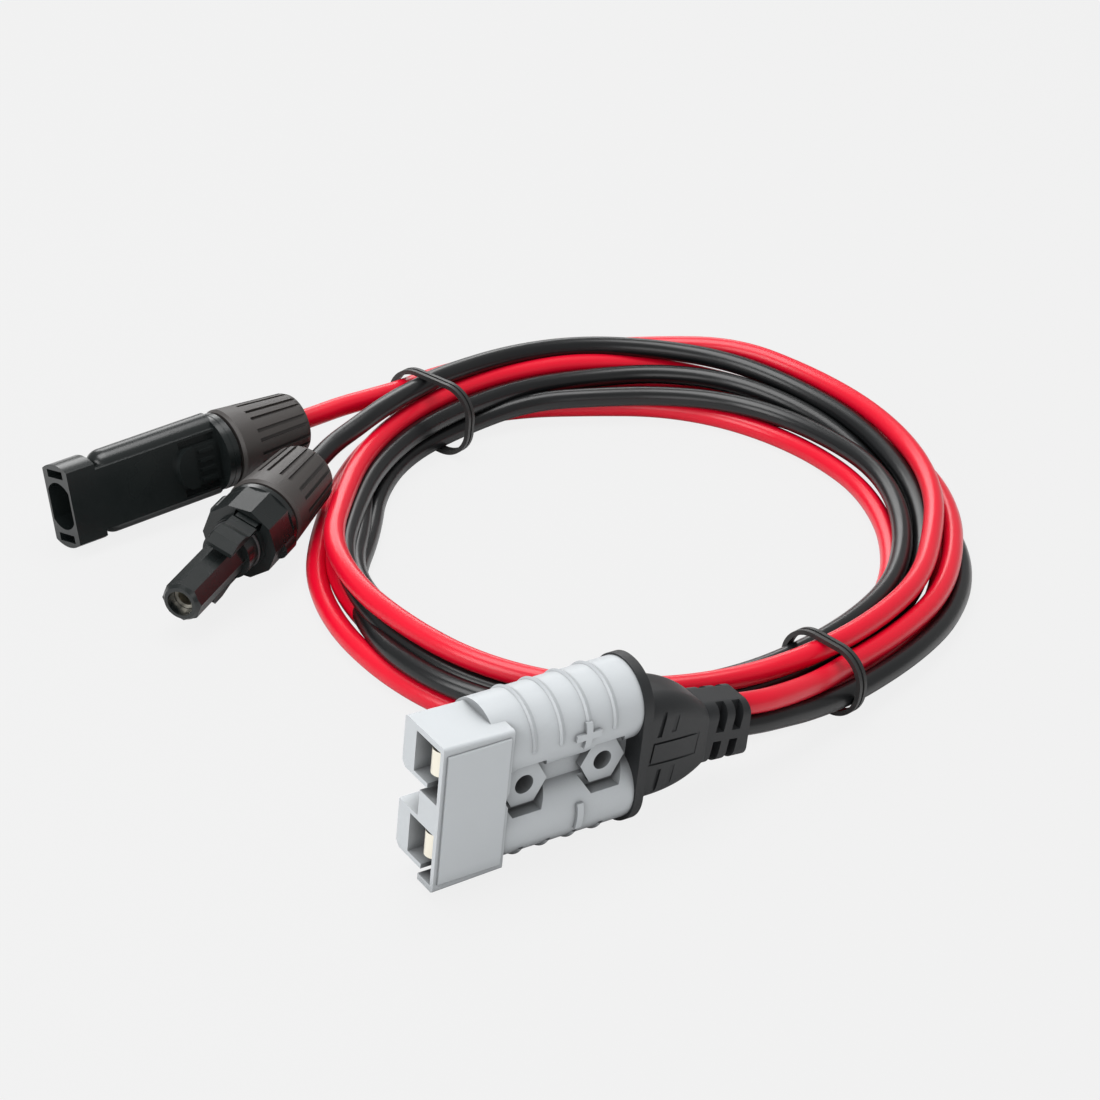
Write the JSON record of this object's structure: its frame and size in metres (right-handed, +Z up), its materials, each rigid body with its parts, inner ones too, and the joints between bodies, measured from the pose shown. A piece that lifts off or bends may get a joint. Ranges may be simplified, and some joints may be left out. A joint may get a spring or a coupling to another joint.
{
  "type": "solar cable connector",
  "caption": "Two-pole battery connector with rear boot, a coiled red and black cable pair held by ties, and a solar pin plug and socket plug on the far ends.",
  "frame": {"origin": "bottom centre of the two-pole connector, housing and boot together", "axes": "+X along the connector from its mating face to its cable outlet, +Y across its thin side towards the coil, +Z up along its tall side"},
  "size_m": [0.2109, 0.1774, 0.038],
  "materials": {
    "housing_grey": "fine moulded grain",
    "contact_silver": "silver plated, soft sheen",
    "pin_tin": "tin plated",
    "copper_strand": "tinned copper strands",
    "boot_black": "satin flexible moulding",
    "cable_red": "satin extruded sheath",
    "cable_black": "satin extruded sheath",
    "cable_bundle": "red and black strands side by side",
    "tie_black": "soft satin",
    "plug_body_black": "smooth moulded",
    "nut_black": "moulded, fluted grip",
    "seal_rubber": "matt silicone"
  },
  "bodies": {
    "connector_set": {"connector_housing": "housing_grey", "contact_positive": "contact_silver", "contact_negative": "contact_silver", "spring_positive": "contact_silver", "spring_negative": "contact_silver", "socket_plug_socket": "contact_silver", "socket_plug_socket_spring": "contact_silver", "pin_plug_pin": "pin_tin", "red_core_main": "copper_strand", "black_core_main": "copper_strand", "pin_plug_core": "copper_strand", "socket_plug_core": "copper_strand", "rear_boot": "boot_black", "boot_inner_mould": "boot_black", "red_lead": "cable_red", "red_lead_inside": "cable_red", "red_tail": "cable_red", "pin_plug_cable_end": "cable_red", "black_lead": "cable_black", "black_lead_inside": "cable_black", "black_tail": "cable_black", "socket_plug_cable_end": "cable_black", "cable_coil": "cable_bundle", "tie_left": "tie_black", "tie_right": "tie_black", "pin_plug_body": "plug_body_black", "socket_plug_body": "plug_body_black", "pin_plug_clamp_ring": "nut_black", "socket_plug_clamp_ring": "nut_black", "pin_plug_seal": "seal_rubber", "socket_plug_seal": "seal_rubber", "pin_plug_gland_ring": "seal_rubber", "socket_plug_gland_ring": "seal_rubber", "socket_plug_nose_ring": "seal_rubber"},
    "pin_nut": {"pin_plug_nut": "nut_black"},
    "socket_nut": {"socket_plug_nut": "nut_black"},
    "upper_latch": {"latch_upper": "plug_body_black"},
    "lower_latch": {"latch_lower": "plug_body_black"}
  },
  "joints": [
    {"name": "pin_nut_turn", "type": "hinge", "parent": "connector_set", "child": "pin_nut", "pos_m": [0.01233, 0.15295, 0.01258], "axis": [0.9901, 0.1342, 0.0418], "range_deg": [0, 720]},
    {"name": "socket_nut_turn", "type": "hinge", "parent": "connector_set", "child": "socket_nut", "pos_m": [0.00306, 0.1253, 0.01225], "axis": [0.8312, 0.5519, 0.0669], "range_deg": [0, 720]},
    {"name": "upper_latch_press", "type": "hinge", "parent": "connector_set", "child": "upper_latch", "pos_m": [-0.01639, 0.10977, 0.0173], "axis": [0.5433, -0.7808, -0.3083], "range_deg": [0, 5], "stiffness_Nm_per_rad": 1.2},
    {"name": "lower_latch_press", "type": "hinge", "parent": "connector_set", "child": "lower_latch", "pos_m": [-0.01805, 0.11389, 0.00392], "axis": [-0.5433, 0.7808, 0.3083], "range_deg": [0, 5], "stiffness_Nm_per_rad": 1.2}
  ]
}
